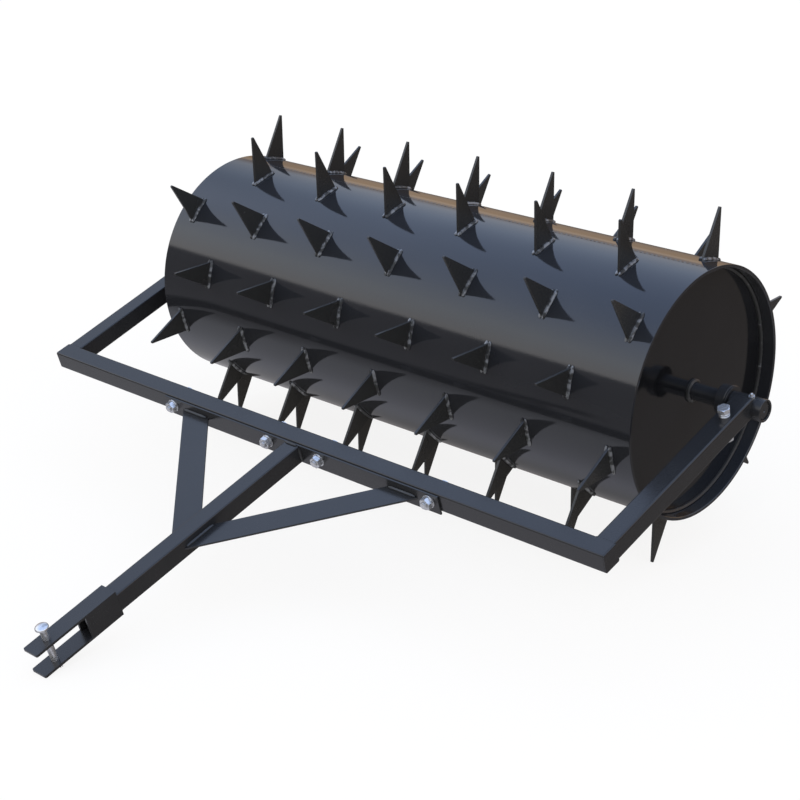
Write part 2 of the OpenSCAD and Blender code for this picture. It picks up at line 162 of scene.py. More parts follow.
class FastenerSizes(bpy.types.PropertyGroup):
    """Bolts, nuts and washers."""
    thread: size(0.010, "Thread diameter of the frame bolts")
    pitch: size(0.0015, "Pitch of the thread")
    flats: size(0.016, "Width across flats of bolt heads and nuts")
    head: size(0.006, "Height of a bolt head")
    nut: size(0.008, "Height of a nut")
    washer: size(0.020, "Outside diameter of a washer")
    washer_thickness: size(0.002, "Thickness of a washer")
    spacer: size(0.015, "Outside diameter of the spacer under a carrier bolt's head")
    spacer_height: size(0.0085, "Height of that spacer")
    end: size(0.003, "How far a bolt's end stands out of its nut")


class FinishColours(bpy.types.PropertyGroup):
    """Paint, weld, steel and plating."""
    shell_paint: colour((0.0150, 0.0150, 0.0160), "Gloss black paint of the drum's shell")
    disc_paint: colour((0.0060, 0.0060, 0.0065), "Gloss black paint of the drum's end discs")
    frame_paint: colour((0.0165, 0.0165, 0.0170), "Black paint of the frame and drawbar")
    spike_paint: colour((0.0210, 0.0200, 0.0180), "Thinner black paint of the spikes")
    dust: colour((0.16, 0.15, 0.14), "Fine dust that settles on the paint")
    # On the weld beads this steel grey is partly painted highlight: besides showing through thin paint, it
    # stands in for glints of light.
    weld: colour((0.20, 0.20, 0.20), "Steel that shows through the paint on a weld bead")
    zinc: colour((0.58, 0.575, 0.57), "Bright zinc plate")
    smut: colour((0.15, 0.15, 0.15), "Dull patches of the zinc plate")
    steel: colour((0.36, 0.35, 0.34), "Bare turned steel")
    grease: colour((0.030, 0.022, 0.014), "Old grease round the bearings")


class StageSettings(bpy.types.PropertyGroup):
    """Camera, floor and soft light."""
    lens: FloatProperty(description="Focal length on a 36 mm sensor, in millimetres", default=78.23, min=10.0)
    camera_place: FloatVectorProperty(description="Where the camera stands",
                                      default=(1.62699, -1.59746, 1.17261), subtype="TRANSLATION")
    camera_turn: FloatVectorProperty(description="How the camera is turned",
                                     default=(1.168508, 0.022432, 0.735481), subtype="EULER")
    floor: size(9.0, "Radius of the floor")
    floor_colour: colour((0.145, 0.124, 0.096), "What the floor scatters, balanced for the sky's blue")
    floor_glow: FloatProperty(description="Even light of the floor itself", default=0.86, min=0.0)
    backdrop: colour((0.99, 0.99, 0.99), "Pale backdrop behind the floor")


SETTINGS = {
    "aerator_drum": DrumSizes,
    "aerator_axle": AxleSizes,
    "aerator_frame": FrameSizes,
    "aerator_drawbar": DrawbarSizes,
    "aerator_hitch": HitchSizes,
    "aerator_fasteners": FastenerSizes,
    "aerator_finish": FinishColours,
    "aerator_stage": StageSettings,
}


def layout(scene):
    """Where things are, worked out from the sizes.

    on_frame has its origin on the axle, y to the back and z square to the bar; on_bar is the same at
    the drawbar's height and on_arms on each arm's centre line; on_axle has z along the axle and x
    straight down.
    """
    drum, axle, tubes = scene.aerator_drum, scene.aerator_axle, scene.aerator_frame
    bar, hitch = scene.aerator_drawbar, scene.aerator_hitch
    at = SimpleNamespace()
    at.drum_r = drum.diameter / 2
    at.tip_r = at.drum_r + drum.spike_height
    at.row_step = WHOLE / drum.rows
    at.pitch = (drum.length - 2 * drum.margin) / (drum.long_row - 1)
    at.arm_in = drum.length / 2 + tubes.side_gap
    at.arm_mid = at.arm_in + tubes.tube / 2
    at.arm_out = at.arm_in + tubes.tube
    at.sleeve_bore = axle.diameter / 2 + axle.journal_gap
    at.sleeve_r = at.sleeve_bore + axle.sleeve_wall
    at.sleeve_out = at.arm_out + axle.sleeve_proud
    at.sleeve_in = at.sleeve_out - axle.sleeve_length
    at.fitting_x = at.arm_mid + axle.fitting_out
    at.axle_half = at.sleeve_out - axle.inset
    at.thrust = at.sleeve_in - axle.play - axle.thrust
    at.collar = at.thrust - axle.collar_width
    at.collar_r = axle.diameter / 2 + axle.collar_wall
    at.bar_back = -(at.tip_r + tubes.tip_gap)
    at.bar_mid = at.bar_back - tubes.tube / 2
    at.plate_back = at.bar_back - tubes.tube
    at.plate_front = at.plate_back - bar.plate
    at.tongue_front = at.plate_front - bar.tongue_length
    at.ear_tip = at.tongue_front - hitch.box - hitch.ear
    at.pin_y = at.ear_tip + hitch.pin_back
    at.clevis_height = hitch.gap + 2 * hitch.wall
    at.ear_top = at.clevis_height / 2 - bar.drop
    at.ear_bottom = -at.clevis_height / 2 - bar.drop
    half_step = at.row_step / 2
    at.axle_height = at.tip_r * math.cos(half_step) + drum.spike_tip / 2 * math.sin(half_step)
    lip = math.hypot(at.ear_tip, at.ear_bottom)
    at.tilt = math.asin(at.axle_height / lip) - math.atan2(-at.ear_bottom, -at.ear_tip)
    reach = -at.ear_tip * math.cos(at.tilt) + at.ear_top * math.sin(at.tilt)
    middle = Matrix.Translation((0, (reach - at.axle_height) / 2, at.axle_height))
    at.on_frame = middle @ Matrix.Rotation(at.tilt, 4, "X")
    at.on_bar = at.on_frame @ move(z=-bar.drop)
    at.on_axle = middle @ Matrix.Rotation(math.pi / 2, 4, "Y")
    at.arm_end = -at.sleeve_r / 2
    at.arm_run = math.hypot(at.bar_back, tubes.arm_rise)
    at.arm_tilt = math.atan2(tubes.arm_rise, -at.bar_back)
    at.on_arms = {side: at.on_frame @ move(side * at.arm_mid, at.bar_back)
                  @ Matrix.Rotation(at.arm_tilt, 4, "X") @ move(y=at.arm_run) for side in SIDES}
    return at


def move(x=0.0, y=0.0, z=0.0):
    return Matrix.Translation((x, y, z))


def turn(degrees, axis):
    return Matrix.Rotation(math.radians(degrees), 4, axis)


# Shader arithmetic

class Socket:
    """An output socket whose arithmetic adds Math nodes."""

    def __init__(self, tree, socket):
        self.tree, self.socket = tree, socket

    def math(self, operation, *values):
        return self.tree.node("ShaderNodeMath", dict(enumerate((self, *values))), operation=operation)

    def __add__(self, other):
        return self.math("ADD", other)

    def __sub__(self, other):
        return self.math("SUBTRACT", other)

    def __rsub__(self, other):
        return self.tree.node("ShaderNodeMath", {0: other, 1: self}, operation="SUBTRACT")

    def __mul__(self, other):
        return self.math("MULTIPLY", other)

    def __abs__(self):
        return self.math("ABSOLUTE")

    __radd__ = __add__
    __rmul__ = __mul__


class Nodes:
    """A node tree: node() adds a node of any type, with its settings first and its inputs after."""

    def __init__(self, tree):
        self.tree = tree
        tree.nodes.clear()

    def node(self, kind, inputs=None, output=0, stops=None, **settings):
        made = self.tree.nodes.new(kind)
        for name, value in settings.items():
            setattr(made, name, value)
        if stops:
            ramp = made.color_ramp
            while len(ramp.elements) < len(stops):
                ramp.elements.new(1.0)
            for element, (place, value) in zip(ramp.elements, stops):
                element.position = place
                element.color = (*value, 1.0) if hasattr(value, "__len__") else (value, value, value, 1.0)
        for name, value in (inputs or {}).items():
            if isinstance(value, Socket):
                self.tree.links.new(value.socket, made.inputs[name])
            elif value is not None:
                made.inputs[name].default_value = value
        return Socket(self, made.outputs[output]) if made.outputs else made

    def blend(self, factor, first, second):
        """The first colour where the factor is 0 and the second where it is 1."""
        colours = [c if isinstance(c, Socket) else (*c, 1.0) for c in (first, second)]
        return self.node("ShaderNodeMix", {0: factor, 6: colours[0], 7: colours[1]}, output=2,
                         data_type="RGBA")

    def noise(self, place, scale, detail=2.0, roughness=0.5):
        return self.node("ShaderNodeTexNoise", {"Vector": place, "Scale": scale, "Detail": detail,
                                                "Roughness": roughness})

    def between(self, value, low, high):
        """0 below the first value, 1 above the second, smooth between."""
        return self.node("ShaderNodeMapRange", {"Value": value, "From Min": low, "From Max": high},
                         interpolation_type="SMOOTHSTEP")

    def bump(self, height, strength, distance, under=None):
        return self.node("ShaderNodeBump", {"Height": height, "Strength": strength, "Distance": distance,
                                            "Normal": under})

    def parts(self, vector):
        """The X, Y and Z of a vector."""
        split = self.node("ShaderNodeSeparateXYZ", {"Vector": vector}).socket.node
        return [Socket(self, output) for output in split.outputs]


def material(title):
    """Turns paint(nodes, place, finish, *kind), which gives a shader's inputs, into a maker of materials."""
    def wrap(paint):
        def give(*kind):
            name = title.format(*kind)
            made = bpy.data.materials.get(name)
            if not made:
                made = bpy.data.materials.new(name)
                made.use_nodes = True
                nodes = Nodes(made.node_tree)
                place = nodes.node("ShaderNodeTexCoord", output="Object")
                finish = bpy.context.scene.aerator_finish
                shader = nodes.node("ShaderNodeBsdfPrincipled", paint(nodes, place, finish, *kind))
                nodes.node("ShaderNodeOutputMaterial", {"Surface": shader})
            return made
        return give
    return wrap


def dusty(nodes, place, base, dust, amount):
    """The paint's colour with fine dust in drifts, and the mask of the dust."""
    drifts = nodes.between(nodes.noise(place, 7.0, 4.0, 0.6), 0.45, 0.75)
    specks = nodes.between(nodes.noise(place, 900.0, 2.0, 0.7), 0.60, 0.74)
    mask = drifts * amount + specks * (amount * 1.5)
    return nodes.blend(mask, base, dust), mask


@material("{}_gloss_black")
def drum_paint(nodes, place, finish, part):
    """Thick gloss black on the shell or a disc: faint rolling waves, orange peel and a little dust."""
    coat, mask = dusty(nodes, place, getattr(finish, part + "_paint"), finish.dust, 0.012)
    drawn_out = nodes.node("ShaderNodeMapping", {"Vector": place, "Scale": (0.35, 1.0, 1.0)})
    rolling = nodes.noise(drawn_out, 11.0, 1.0)
    peel = nodes.noise(place, 420.0, 1.0)
    haze = nodes.noise(place, 45.0, 3.0)
    return {"Base Color": coat, "Roughness": 0.055 + haze * 0.05 + mask * 2.0, "IOR": 1.5,
            "Normal": nodes.bump(peel, 0.06, 0.0004, nodes.bump(rolling, 0.25, 0.0022))}


@material("frame_gloss_black")
def frame_paint(nodes, place, finish):
    """The frame's black: a thinner coat over drawn tube, a little softer in its gloss."""
    coat, mask = dusty(nodes, place, finish.frame_paint, finish.dust, 0.02)
    peel = nodes.noise(place, 380.0)
    pull = nodes.noise(place, 26.0)
    return {"Base Color": coat, "Roughness": 0.16 + pull * 0.10 + mask * 2.0, "IOR": 1.45,
            "Specular Tint": (1.0, 0.94, 0.87, 1.0), "Normal": nodes.bump(peel + pull * 1.5, 0.10, 0.0006)}


@material("spike_satin_black")
def spike_paint(nodes, place, finish):
    """The spikes' black: sprayed thin over sawn plate, softer and a little warmer than the shell's."""
    coat, mask = dusty(nodes, place, finish.spike_paint, finish.dust, 0.02)
    return {"Base Color": coat, "Roughness": 0.26 + mask * 2.0, "IOR": 1.45,
            "Normal": nodes.bump(nodes.noise(place, 520.0), 0.12, 0.0005)}


@material("{}_weld")
def weld_paint(nodes, place, finish, state):
    """A weld bead, painted or worn: where the coat is thin, steel shows through. These lighter steel patches
    are partly painted highlights: they also stand in for the glints of light on the bead.
    """
    # The worn state lays more steel patches than the painted one, so it also paints more highlights as
    # glints.
    steel_and_glint_share = {"painted": 0.25, "worn": 0.7}[state] * 0.42
    grain = nodes.noise(place, 420.0)
    # Random lighter steel-grey patches: partly thin paint over the bead, partly painted highlight standing in
    # for its glints.
    bare = nodes.between(nodes.noise(place, 130.0), 0.74 - steel_and_glint_share, 0.90 - steel_and_glint_share)
    return {"Base Color": nodes.blend(bare, finish.spike_paint, finish.weld), "Metallic": bare * 0.35,
            "Roughness": 0.36 + grain * 0.16, "IOR": 1.5, "Normal": nodes.bump(grain, 0.20, 0.0005)}


@material("bright_zinc_plate")
def zinc_plate(nodes, place, finish):
    """Bright zinc: brushed bright, with a faint blue cast and dull patches."""
    patches = nodes.between(nodes.noise(place, 120.0), 0.50, 0.78)
    grain = nodes.noise(place, 1600.0)
    return {"Base Color": nodes.blend(patches * 0.6, finish.zinc, finish.smut), "Metallic": 0.80,
            "Roughness": 0.20 + patches * 0.16 + grain * 0.08, "Normal": nodes.bump(grain, 0.18, 0.0002)}


@material("rubbed_axle")
def axle_steel(nodes, place, finish):
    """Black painted bar, rubbed to bright steel with a smear of grease where it runs in its sleeves."""
    at = layout(bpy.context.scene)
    start, end = at.thrust, at.axle_half - 0.006
    ragged = abs(nodes.parts(place)[0]) + nodes.noise(place, 160.0, 3.0) * 0.006
    rubbed = nodes.between(ragged, start, start + 0.005) - nodes.between(ragged, end, end + 0.004)
    smear = nodes.between(nodes.noise(place, 90.0, 4.0, 0.6), 0.42, 0.66)
    lathe = nodes.node("ShaderNodeTexWave", {"Vector": place, "Scale": 900.0, "Distortion": 0.4},
                       output="Fac", bands_direction="X")
    bare = nodes.blend(smear, finish.steel, finish.grease)
    return {"Base Color": nodes.blend(rubbed, finish.frame_paint, bare), "Metallic": rubbed * (1 - smear),
            "Roughness": 0.16 + rubbed * 0.16, "IOR": 1.5, "Normal": nodes.bump(lathe, 0.12, 0.0002)}


@material("pale_floor")
def floor_surface(nodes, place, finish):
    """Flat pale ground that gives some light of its own."""
    stage = bpy.context.scene.aerator_stage
    worn = [0.96 * c for c in stage.floor_colour]
    return {"Base Color": nodes.blend(nodes.noise(place, 1.3), stage.floor_colour, worn), "Roughness": 1.0,
            "Specular IOR Level": 0.0, "Emission Strength": stage.floor_glow,
            "Emission Color": (1.0, 1.0, 1.0, 1.0)}


# Shapes

def verts_of(made):
    return [v for v in made if isinstance(v, bmesh.types.BMVert)]


def edges_of(made):
    return [e for e in made if isinstance(e, bmesh.types.BMEdge)]


def outward(shape):
    """The shape with all its faces turned outwards."""
    bmesh.ops.recalc_face_normals(shape, faces=shape.faces)
    return shape


def merge(shape):
    bmesh.ops.remove_doubles(shape, verts=shape.verts, dist=1e-6)


def bevel(shape, geom, width, segments, affect):
    bmesh.ops.bevel(shape, geom=geom, offset=width, offset_type="OFFSET", segments=segments, profile=0.5,
                    affect=affect, clamp_overlap=True, material=-1)
    return shape


def rounded(shape, width=BROKEN, sharp=35.0):
    """Rounds every edge of a shape that turns by more than an angle."""
    least = math.radians(sharp)
    edges = [e for e in shape.edges if len(e.link_faces) == 2 and e.calc_face_angle(0.0) > least]
    return bevel(shape, edges, width, 2, "EDGES")


def turned(outline, steps=64, closed=False):
    """A shape turned about z from an outline of (radius, height) points."""
    shape = bmesh.new()
    verts = [shape.verts.new((radius, 0.0, height)) for radius, height in outline]
    edges = [shape.edges.new(pair) for pair in zip(verts, verts[1:])]
    if closed:
        edges.append(shape.edges.new((verts[-1], verts[0])))
    bmesh.ops.spin(shape, geom=verts + edges, cent=(0, 0, 0), axis=(0, 0, 1), dvec=(0, 0, 0),
                   angle=WHOLE, steps=steps, use_merge=True, use_duplicate=False)
    merge(shape)
    return outward(shape)


def ring(outer, bore, low, high, edge, steps=64):
    """A flat ring between two heights, its outer and bore edges chamfered."""
    return turned([(bore, low + edge), (bore + edge, low), (outer - edge, low), (outer, low + edge),
                   (outer, high - edge), (outer - edge, high), (bore + edge, high), (bore, high - edge)],
                  steps, closed=True)


def raised(shape, faces, height):
    """Faces pulled up into a closed solid."""
    made = bmesh.ops.extrude_face_region(shape, geom=faces)["geom"]
    bmesh.ops.translate(shape, vec=(0, 0, height), verts=verts_of(made))
    return outward(shape)


def plate(corners, thickness, edge=BROKEN):
    """A flat plate with softened edges from its (x, y) corners, centred on z = 0."""
    shape = bmesh.new()
    face = shape.faces.new([shape.verts.new((x, y, -thickness / 2)) for x, y in corners])
    return rounded(raised(shape, [face], thickness), edge)


def round_square(width, corner):
    """One flat square face with round corners."""
    shape = bmesh.new()
    bmesh.ops.create_grid(shape, x_segments=1, y_segments=1, size=width / 2)
    return bevel(shape, shape.verts[:], corner, 5, "VERTICES")


def square_tube(width, wall, corner, length, side_cuts=0):
    """A square tube along z with round corners; side_cuts divide its flat sides."""
    shape = round_square(width, corner)
    if side_cuts:
        sides = [e for e in shape.edges if e.calc_length() > width / 2]
        bmesh.ops.subdivide_edges(shape, edges=sides, cuts=side_cuts)
    middle = shape.faces[:]
    bmesh.ops.inset_region(shape, faces=middle, thickness=wall, use_even_offset=True, use_boundary=True)
    bmesh.ops.delete(shape, geom=middle, context="FACES_ONLY")
    return raised(shape, shape.faces[:], length)


def to_hexagon(verts, flats):
    """Pushes a ring of verts out to a hexagon about z with a corner on x; gives each vert's radius."""
    radii = {}
    for vert in verts:
        angle = math.degrees(math.atan2(vert.co.y, vert.co.x)) % 60.0
        radii[vert] = flats / 2 / math.cos(math.radians(angle - 30.0))
        flat = Vector((vert.co.x, vert.co.y, 0.0)).normalized() * radii[vert]
        vert.co.x, vert.co.y = flat.x, flat.y
    return radii


def hexagon(flats, height, steps=48):
    """A bolt head or nut: a hexagonal prism whose corners are turned off at both ends."""
    shape = bmesh.new()
    face_r = flats * 0.475
    slope = math.tan(math.radians(30.0))
    bmesh.ops.create_circle(shape, cap_ends=True, segments=steps, radius=face_r)
    rim = [e for e in shape.edges if e.is_boundary]
    for top in (False, True):
        made = bmesh.ops.extrude_edge_only(shape, edges=rim)["geom"]
        verts, rim = verts_of(made), edges_of(made)
        for vert, radius in to_hexagon(verts, flats).items():
            drop = (radius - face_r) * slope
            vert.co.z = height - drop if top else drop
    made = bmesh.ops.extrude_edge_only(shape, edges=rim)["geom"]
    for vert in verts_of(made):
        flat = Vector((vert.co.x, vert.co.y, 0.0)).normalized() * face_r
        vert.co = (flat.x, flat.y, height)
    bmesh.ops.edgeloop_fill(shape, edges=edges_of(made))
    return outward(shape)


def threaded_end(diameter, pitch, length):
    """The end of a bolt from z = 0 up: a real helix, cut square and a little domed."""
    steps, turns = 24, math.ceil(length / pitch) + 2
    crest, root = diameter / 2, diameter / 2 - pitch * 0.6
    shape = bmesh.new()
    outline = [(root, 0.0), (crest, 0.42 * pitch), (crest, 0.58 * pitch), (root, pitch)]
    verts = [shape.verts.new((radius, 0.0, height - pitch)) for radius, height in outline]
    edges = [shape.edges.new(pair) for pair in zip(verts, verts[1:])]
    bmesh.ops.spin(shape, geom=verts + edges, cent=(0, 0, 0), axis=(0, 0, 1), dvec=(0, 0, pitch / steps),
                   angle=WHOLE * turns, steps=steps * turns, use_merge=False, use_duplicate=False)
    merge(shape)
    for height, way in ((0.0, -1), (length, 1)):
        bmesh.ops.bisect_plane(shape, geom=shape.verts[:] + shape.edges[:] + shape.faces[:], dist=1e-7,
                               plane_co=(0, 0, height), plane_no=(0, 0, way), clear_outer=True)
    filled = bmesh.ops.holes_fill(shape, edges=[e for e in shape.edges if e.is_boundary], sides=0)["faces"]
    outward(shape)
    top = [f for f in filled if f.is_valid and f.calc_center_median().z > length / 2]
    bmesh.ops.inset_region(shape, faces=top, thickness=pitch * 0.4, depth=pitch * 0.25,
                           use_even_offset=False)
    return shape


def rope(stations, radius, sides=6, closed=False):
    """A round section drawn through stations of (point, direction, width), as wire or weld metal."""
    shape = bmesh.new()
    bmesh.ops.create_circle(shape, cap_ends=not closed, segments=sides, radius=radius)
    verts, edges = shape.verts[:], shape.edges[:]
    last = Matrix.Identity(4)
    for number, (point, direction, width) in enumerate(stations):
        square = direction.to_track_quat("Z", "Y").to_matrix().to_4x4()
        here = Matrix.Translation(point) @ square @ Matrix.Scale(width, 4)
        if number:
            made = bmesh.ops.extrude_edge_only(shape, edges=edges)["geom"]
            verts, edges = verts_of(made), edges_of(made)
        bmesh.ops.transform(shape, matrix=here @ last.inverted(), verts=verts)
        last = here
    if closed:
        merge(shape)
    else:
        bmesh.ops.edgeloop_fill(shape, edges=edges)
    return outward(shape)


def ripple(number, count, seed):
    """Width of a weld bead at a station: a crest at every other one, uneven, tapering at the ends.

    A bead that goes all the way round has no ends, and its count is 0.
    """
    crest = 1.0 + (0.05 if number % 2 else -0.05) + 0.08 * math.sin(2.3 * number + seed)
    return crest * min(1.0, 0.45 + 0.30 * min(number, count - number)) if count else crest


def weld_line(start, end, radius, seed=0.0, step=1.1):
    """A rippled bead along a straight joint."""
    start, end = Vector(start), Vector(end)
    along = end - start
    count = max(4, round(along.length / (radius * step)))
    stations = [(start + along * (i / count), along, ripple(i, count, seed)) for i in range(count + 1)]
    return rope(stations, radius)


def weld_arc(circle_r, height, first, last, radius, seed=0.0, step=1.1):
    """A rippled bead round z at one height, between two angles in radians or all the way round."""
    whole = last - first > WHOLE - 1e-6
    count = max(4, round((last - first) * circle_r / (radius * step)))
    count += count % 2
    stations = []
    for i in range(count + 1):
        angle = first + (last - first) * i / count
        point = Vector((circle_r * math.cos(angle), circle_r * math.sin(angle), height))
        way = Vector((-math.sin(angle), math.cos(angle), 0.0))
        stations.append((point, way, ripple(i, 0 if whole else count, seed)))
    if whole:
        stations[-1] = stations[0]
    return rope(stations, radius, closed=whole)


class Piece:
    """A mesh that grows from shapes, each set in its place and given one of the piece's finishes."""

    def __init__(self, name, *finishes):
        self.name, self.finishes, self.mesh = name, finishes, bmesh.new()

    def add(self, shape, *places, finish=0, keep=False):
        held = bpy.data.meshes.new("held")
        for place in places or (Matrix.Identity(4),):
            copy = shape.copy()
            bmesh.ops.transform(copy, matrix=place, verts=copy.verts)
            if place.determinant() < 0:
                bmesh.ops.reverse_faces(copy, faces=copy.faces)
            for face in copy.faces:
                face.material_index, face.smooth = finish, True
            copy.to_mesh(held)
            copy.free()
            self.mesh.from_mesh(held)
        bpy.data.meshes.remove(held)
        if not keep:
            shape.free()

    def finish(self, body, slot, *replaces):
        """Makes the object: it rides on a body and stands for CAD nodes. The slot is not used."""
        for edge in self.mesh.edges:
            edge.smooth = len(edge.link_faces) == 2 and edge.calc_face_angle(0.0) < math.radians(SHARP)
        mesh = bpy.data.meshes.new(self.name)
        self.mesh.to_mesh(mesh)
        self.mesh.free()
        for material in self.finishes:
            mesh.materials.append(material)
        made = bpy.data.objects.new(self.name, mesh)
        bpy.context.scene.collection.objects.link(made)
        made.modifiers.new("even_normals", "WEIGHTED_NORMAL").keep_sharp = True
        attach(made, body)
        if replaces:
            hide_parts(*replaces)
        return made


# Operators

class AERATOR_OT_stage(bpy.types.Operator):
    """Set the camera, the pale floor and the soft light"""
    bl_idname = "aerator.stage"
    bl_label = "Stage"

    def execute(self, context):
        stage = context.scene.aerator_stage
        lens = bpy.data.cameras.new("camera")
        lens.sensor_width, lens.lens, lens.clip_end = 36.0, stage.lens, 60.0
        camera = bpy.data.objects.new("camera", lens)
        turned_to = Euler(stage.camera_turn).to_matrix().to_4x4()
        camera.matrix_world = Matrix.Translation(stage.camera_place) @ turned_to
        context.scene.collection.objects.link(camera)
        context.scene.camera = camera
        context.scene.view_settings.view_transform = "Standard"
        self.sky(context)

        ground = bmesh.new()
        bmesh.ops.create_circle(ground, cap_ends=True, segments=96, radius=stage.floor)
        self.stage_piece(context, "floor", ground, floor_surface()).visible_glossy = False

        bowl = bmesh.new()
        bmesh.ops.create_icosphere(bowl, subdivisions=5, radius=stage.floor)
        pale = bpy.data.materials.new("pale_backdrop")
        pale.use_nodes = True
        nodes = Nodes(pale.node_tree)
        light = nodes.node("ShaderNodeEmission", {"Color": (*stage.backdrop, 1.0)})
        nodes.node("ShaderNodeOutputMaterial", {"Surface": light})
        backdrop = self.stage_piece(context, "backdrop", bowl, pale)
        for ray in ("diffuse", "glossy", "transmission", "shadow"):
            setattr(backdrop, "visible_" + ray, False)
        return {"FINISHED"}

    def stage_piece(self, context, name, shape, surface):
        mesh = bpy.data.meshes.new(name)
        shape.to_mesh(mesh)
        shape.free()
        mesh.materials.append(surface)
        made = bpy.data.objects.new(name, mesh)
        context.scene.collection.objects.link(made)
        return made

    def sky(self, context):
        """Soft light as outdoors under an even sky: pale at the horizon, bluer above, dim ground below."""
        world = bpy.data.worlds.new("soft_sky")
        world.use_nodes = True
        nodes = Nodes(world.node_tree)
        way = nodes.node("ShaderNodeTexCoord", output="Generated")
        rightwards, across, height = nodes.parts(way)
        uneven = height + (nodes.noise(way, 2.2) - 0.5) * 0.10
        strength = 2.4

        def ramp(driver, *stops):
            """Colours at elevations in degrees."""
            return nodes.node("ShaderNodeValToRGB", {0: driver * 0.5 + 0.5}, stops=[
                ((math.sin(math.radians(elevation)) + 1) / 2, tuple(v / strength for v in shade))
                for elevation, shade in stops])

        near = ramp(uneven, (-60, (0.60, 0.61, 0.72)), (-34, (0.63, 0.65, 0.73)), (-27, (0.28, 0.28, 0.31)),
                    (0, (0.22, 0.21, 0.22)), (13, (0.24, 0.23, 0.24)), (15, (1.85, 1.80, 1.78)),
                    (28, (1.80, 1.92, 2.10)), (43, (1.25, 1.48, 1.98)), (57, (0.85, 1.12, 1.75)))
        far = ramp(height, (-60, (0.30, 0.30, 0.32)), (-10, (0.16, 0.13, 0.11)), (-2, (0.45, 0.33, 0.24)),
                   (9, (0.80, 0.55, 0.34)), (13, (1.20, 0.90, 0.65)), (17, (0.60, 0.50, 0.46)),
                   (22, (1.00, 1.08, 1.25)), (35, (0.98, 1.20, 1.62)), (57, (0.85, 1.12, 1.75)))
        leftwards = rightwards * -1.0
        far = nodes.blend(nodes.between(leftwards, 0.64, 0.76) * 0.36, far, (0.0, 0.0, 0.0))
        lit_ground = nodes.between(leftwards, 0.60, 0.80) * nodes.between(height * -1.0, 0.10, 0.26)
        far = nodes.blend(lit_ground, far, (0.30, 0.30, 0.32))
        light = nodes.node("ShaderNodeBackground", {
            "Color": nodes.blend(nodes.between(across, -0.15, 0.35), near, far), "Strength": strength})
        nodes.node("ShaderNodeOutputWorld", {"Surface": light})
        context.scene.world = world


class AERATOR_OT_shell(bpy.types.Operator):
    """Roll the drum's shell, its rims broken and its seam weld ground almost flush"""
    bl_idname = "aerator.shell"
    bl_label = "Shell"

    def execute(self, context):
        drum, at = context.scene.aerator_drum, layout(context.scene)
        half, edge = drum.length / 2, 0.0008
        shell = Piece("rolled_shell", drum_paint("shell"))
        inner = at.drum_r - drum.wall
        outline = [(inner, -half + edge), (inner + edge, -half), (at.drum_r - edge, -half),
                   (at.drum_r - edge * 0.3, -half + edge * 0.3), (at.drum_r, -half + edge)]
        outline += [(radius, -height) for radius, height in reversed(outline)]
        shell.add(turned(outline, steps=240, closed=True), at.on_axle)
        proud, seam_r, short = 0.0006, 0.0035, 0.004
        seam = weld_line((0, 0, -half + short), (0, 0, half - short), seam_r, step=0.8)
        behind = at.on_axle @ turn(180.0, "Z") @ move(at.drum_r + proud - seam_r)
        shell.add(seam, behind)
        shell.finish("drum", "black_paint", "drum_shell")
        return {"FINISHED"}


class AERATOR_OT_ends(bpy.types.Operator):
    """Make both end discs with their welds to the shell and to the axle"""
    bl_idname = "aerator.ends"
    bl_label = "End discs"

    def execute(self, context):
        drum, axle, at = context.scene.aerator_drum, context.scene.aerator_axle, layout(context.scene)
        inner, shaft = at.drum_r - drum.wall, axle.diameter / 2
        outline = [(shaft, -drum.disc), (inner, -drum.disc), (inner, 0.0), (shaft, 0.0)]
        for side in SIDES:
            end = Piece("end_disc_" + SIDES[side], drum_paint("disc"), weld_paint("painted"))
            place = at.on_axle @ move(z=side * (drum.length / 2 - drum.recess))
            if side < 0:
                place = place @ turn(180.0, "X")
            end.add(turned(outline, 160, closed=True), place)
            rim, hub = drum.end_weld * 0.35, axle.hub_weld * 0.30
            end.add(weld_arc(inner - rim, rim, 0, WHOLE, drum.end_weld), place, finish=1)
            end.add(weld_arc(shaft + hub, hub, 0, WHOLE, axle.hub_weld * 0.85), place, finish=1)
            end.finish("drum", "black_paint", "drum_end_" + SIDES[side])
        return {"FINISHED"}


class AERATOR_OT_spikes(bpy.types.Operator):
    """Cut the spikes from plate and weld them to the shell in staggered rows"""
    bl_idname = "aerator.spikes"
    bl_label = "Spikes"

    def execute(self, context):
        drum, at = context.scene.aerator_drum, layout(context.scene)
        foot, tip = drum.spike_base / 2, drum.spike_tip / 2
        foot_r = math.sqrt(at.drum_r ** 2 - foot ** 2)
        buried = 0.001
        root = foot + buried * (foot - tip) / (at.tip_r - foot_r)
        low = foot_r - buried
        blade = plate([(low, -root), (at.tip_r, -tip), (at.tip_r, tip), (low, root)], drum.spike_plate)
        reach = math.asin((foot + drum.bead_over) / at.drum_r)
        lift = drum.bead * 0.25
        for number in range(drum.rows):
            # Worn welds on the spikes: more steel patches, partly wear and partly painted highlights standing
            # in for the beads' glints.
            row = Piece(f"spikes_{number + 1:02d}", spike_paint(), weld_paint("worn"))
            count = drum.long_row - number % 2
            out = at.on_axle @ Matrix.Rotation(-(number + 0.5) * at.row_step, 4, "Z")
            for i in range(count):
                place = out @ move(z=(i - (count - 1) / 2) * at.pitch)
                row.add(blade, place, keep=True)
                for side in SIDES:
                    seed = 1.7 * i + 2.9 * number + side
                    bead = weld_arc(at.drum_r + lift, side * (drum.spike_plate / 2 + lift), -reach, reach,
                                    drum.bead, seed, step=0.8)
                    row.add(bead, place, finish=1)
            row.finish("drum", "black_paint", f"spike_row_{number + 1:02d}")
        blade.free()
        return {"FINISHED"}


